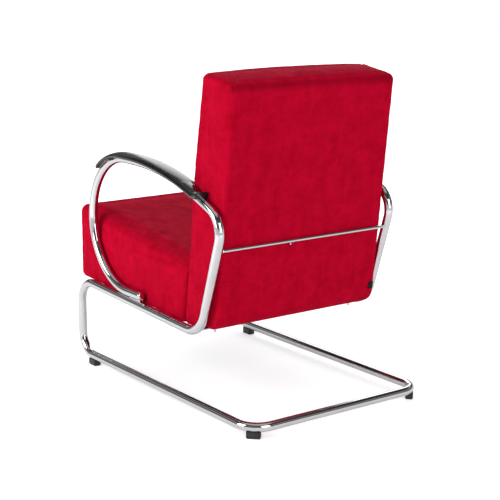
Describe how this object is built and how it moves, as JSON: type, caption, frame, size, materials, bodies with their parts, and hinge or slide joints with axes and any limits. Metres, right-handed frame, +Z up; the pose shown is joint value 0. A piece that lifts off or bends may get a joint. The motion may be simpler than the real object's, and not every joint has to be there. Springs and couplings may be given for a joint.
{
  "type": "cantilever lounge armchair",
  "caption": "Lounge armchair: thick velvet seat and back blocks in a cantilever frame of bent chromed tube with looped arms and black lacquered arm pads.",
  "frame": {"origin": "on the floor, under the middle of the bounding box", "axes": "+Z up; the sitter faces -Y; +X is the sitter's left"},
  "size_m": [0.627, 0.9117, 0.9081],
  "materials": {
    "chrome": "polished chrome plate",
    "steel": "plain steel",
    "zinc_plate": "bright zinc plate",
    "black_lacquer": "black gloss lacquer over hardwood",
    "black_plastic": "satin black",
    "red_velvet": "plain velvet, short nap",
    "beech": "sawn and sanded",
    "hardboard": "pressed board",
    "foam": "open-cell foam",
    "black_cloth": "plain woven cloth"
  },
  "bodies": {
    "root": {"arm_end_cap_left": "chrome", "arm_end_cap_right": "chrome", "arm_pad_left": "black_lacquer", "arm_pad_right": "black_lacquer", "arm_wedge_left": "steel", "arm_wedge_right": "steel", "back_board": "hardboard", "back_bolt_left": "zinc_plate", "back_bolt_right": "zinc_plate", "back_bracket_left": "zinc_plate", "back_bracket_right": "zinc_plate", "back_cover": "red_velvet", "back_dust_cloth": "black_cloth", "back_foam": "foam", "back_label": "black_cloth", "back_rod": "chrome", "back_strap_1": "black_cloth", "back_strap_2": "black_cloth", "back_strap_3": "black_cloth", "back_timber_frame": "beech", "frame_joint_sleeve": "steel", "frame_tube_left": "chrome", "frame_tube_right": "chrome", "glide_front_left": "black_plastic", "glide_front_right": "black_plastic", "glide_rear_left": "black_plastic", "glide_rear_right": "black_plastic", "pad_screw_left_front": "steel", "pad_screw_left_rear": "steel", "pad_screw_right_front": "steel", "pad_screw_right_rear": "steel", "pad_tab_left_front": "black_plastic", "pad_tab_left_rear": "black_plastic", "pad_tab_right_front": "black_plastic", "pad_tab_right_rear": "black_plastic", "rod_stop": "chrome", "seat_bolt_front_left": "zinc_plate", "seat_bolt_front_right": "zinc_plate", "seat_bolt_rear_left": "zinc_plate", "seat_bolt_rear_right": "zinc_plate", "seat_cover": "red_velvet", "seat_cross_bar_front": "steel", "seat_cross_bar_rear": "steel", "seat_dust_cloth": "black_cloth", "seat_foam": "foam", "seat_spring_1": "steel", "seat_spring_2": "steel", "seat_spring_3": "steel", "seat_spring_4": "steel", "seat_timber_frame": "beech"}
  },
  "joints": []
}
